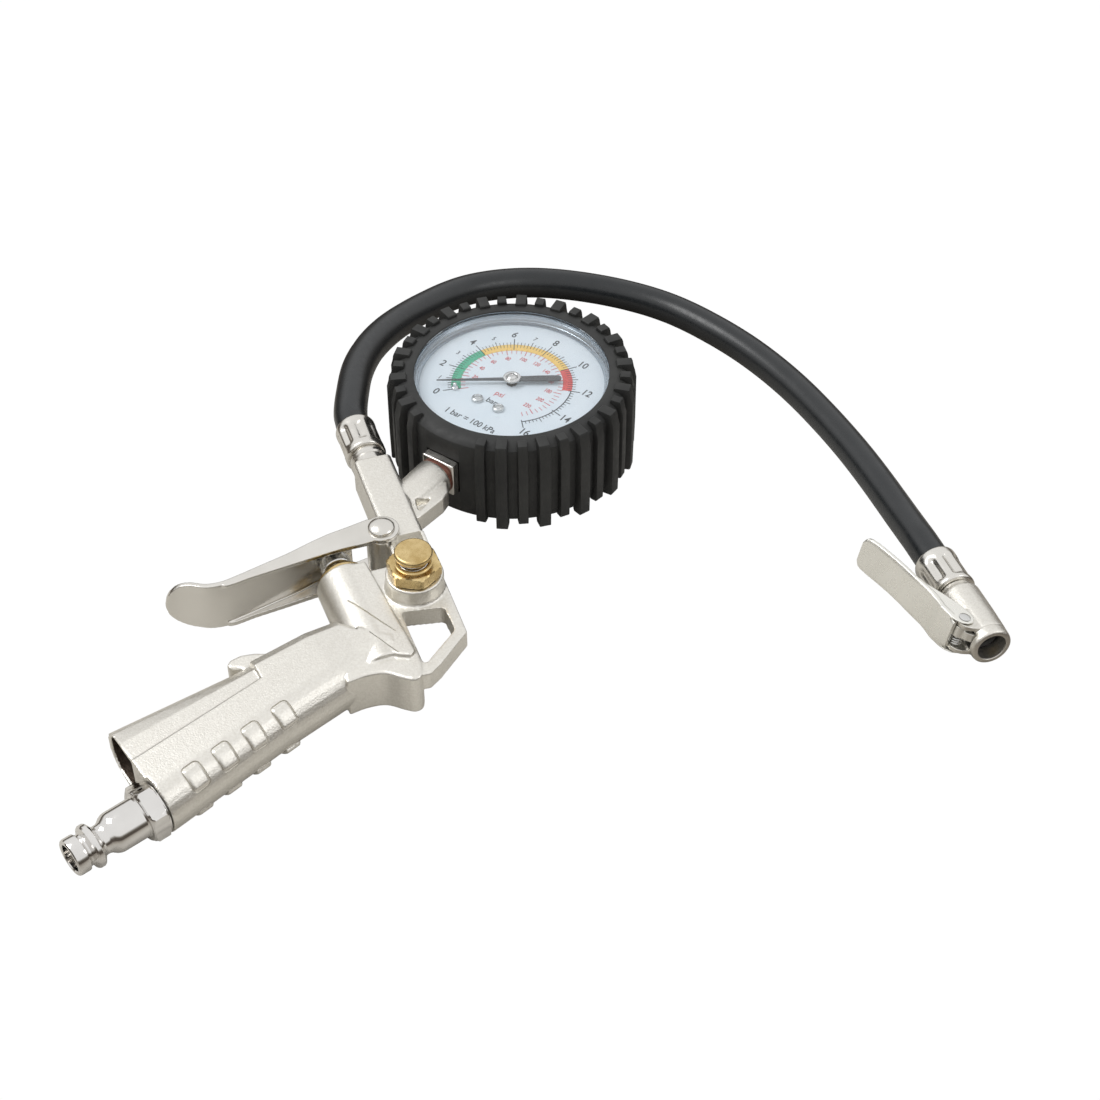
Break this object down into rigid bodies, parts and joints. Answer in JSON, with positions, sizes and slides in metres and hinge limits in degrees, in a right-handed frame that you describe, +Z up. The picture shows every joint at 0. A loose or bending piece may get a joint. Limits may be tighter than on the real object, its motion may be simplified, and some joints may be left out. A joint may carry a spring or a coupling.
{
  "type": "tire pressure gauge",
  "caption": "Pistol-grip tyre inflator with a dial pressure gauge in a ribbed rubber boot, squeeze trigger, bleed button, flexible hose and clip-on valve chuck.",
  "frame": {"origin": "centre of the tool's own footprint, without hose and chuck, on the surface it lies on", "axes": "+Z up out of the surface; +Y roughly along the barrel towards the hose; +X across it towards the dial. The tool lies on its side, tipped 5 degrees so that the edge of the foot on the back of the boot and the end of the handle both touch."},
  "size_m": [0.2606, 0.2182, 0.0411],
  "materials": {
    "cast_nickel": "satin nickel-plated casting",
    "stamped_nickel": "nickel-plated steel",
    "plug_steel": "bright chrome plate",
    "stem_chrome": "bright chrome plate",
    "bright_steel": "bright",
    "brass": "machined",
    "washer_copper": "dull copper",
    "seal_rubber": "matte",
    "boot_rubber": "matte",
    "hose_rubber": "semi-matte",
    "grey_metal": "satin grey",
    "dial_white": "printed white",
    "pointer_black": "satin black",
    "clear_lens": "clear"
  },
  "bodies": {
    "tool": {"pistol_body": "cast_nickel", "air_inlet_plug": "plug_steel", "inlet_seal_ring": "seal_rubber", "valve_gland": "brass", "valve_spring": "bright_steel", "stem_oring": "seal_rubber", "trigger_rivet": "stamped_nickel", "bleed_valve_body": "brass", "bleed_spring": "bright_steel", "bleed_seal": "seal_rubber", "hose_connector": "stamped_nickel", "ferrule_barrel": "stamped_nickel", "gauge_boot": "boot_rubber", "gauge_case": "bright_steel", "gauge_bezel": "grey_metal", "gauge_lens": "clear_lens", "dial_spacer_ring": "grey_metal", "gauge_dial": "dial_white", "dial_screw_a": "bright_steel", "dial_screw_b": "bright_steel", "zero_stop_pin": "bright_steel", "movement_back_plate": "brass", "movement_front_plate": "brass", "movement_pillar_a": "brass", "movement_pillar_b": "brass", "gauge_socket": "stem_chrome", "stem_seal_washer": "washer_copper", "bourdon_tube": "brass", "tube_tip": "brass", "hose": "hose_rubber", "ferrule_chuck": "stamped_nickel", "chuck_body": "stamped_nickel", "chuck_seal": "seal_rubber", "chuck_core_pin": "brass", "chuck_lever_pin": "bright_steel", "chuck_spring": "bright_steel"},
    "trigger": {"trigger_lever": "stamped_nickel"},
    "stem": {"valve_stem": "bright_steel", "valve_poppet_seal": "seal_rubber"},
    "bleed": {"bleed_button": "brass"},
    "sector": {"sector_gear": "brass"},
    "needle": {"pointer": "pointer_black", "pointer_hub": "plug_steel", "pointer_arbor": "brass"},
    "link": {"link_bar": "bright_steel"},
    "clip": {"chuck_lever": "stamped_nickel"}
  },
  "joints": [
    {"name": "trigger_pivot", "type": "hinge", "parent": "tool", "child": "trigger", "pos_m": [0.00563, -0.00001, 0.01728], "axis": [-0.0648, -0.0583, 0.9962], "range_deg": [0, 11], "stiffness_Nm_per_rad": 0.8, "springref_deg": -8.59},
    {"name": "valve_stem_slide", "type": "slide", "parent": "tool", "child": "stem", "axis": [0.0518, -0.9971, -0.055], "range_m": [0, 0.003], "deforming": ["valve_spring"]},
    {"name": "bleed_button_slide", "type": "slide", "parent": "tool", "child": "bleed", "axis": [0.0648, 0.0583, -0.9962], "range_m": [0, 0.0015], "stiffness_N_per_m": 800, "springref_m": -0.001, "deforming": ["bleed_spring"]},
    {"name": "sector_pivot", "type": "hinge", "parent": "tool", "child": "sector", "pos_m": [0.06922, 0.0537, 0.02306], "axis": [-0.0648, -0.0583, 0.9962], "range_deg": [0, 26.1], "stiffness_Nm_per_rad": 0.002, "springref_deg": -17.19},
    {"name": "pointer_spindle", "type": "hinge", "parent": "tool", "child": "needle", "pos_m": [0.05713, 0.04478, 0.0342], "axis": [-0.0648, -0.0583, 0.9962], "range_deg": [-262, 0]},
    {"name": "link_slide", "type": "slide", "parent": "tool", "child": "link", "axis": [-0.99, 0.1295, -0.0568], "range_m": [0, 0.003]},
    {"name": "chuck_lever_pivot", "type": "hinge", "parent": "tool", "child": "clip", "pos_m": [0.1506, -0.06685, 0.00762], "axis": [-0.1736, 0.006, -0.9848], "range_deg": [0, 11], "stiffness_Nm_per_rad": 0.12, "springref_deg": -28.65}
  ],
  "couplings": [
    {"joint": "valve_stem_slide", "follows": "trigger_pivot", "m_per_rad": 0.0148},
    {"joint": "pointer_spindle", "follows": "sector_pivot", "ratio": -10},
    {"joint": "link_slide", "follows": "sector_pivot", "m_per_rad": 0.006}
  ]
}
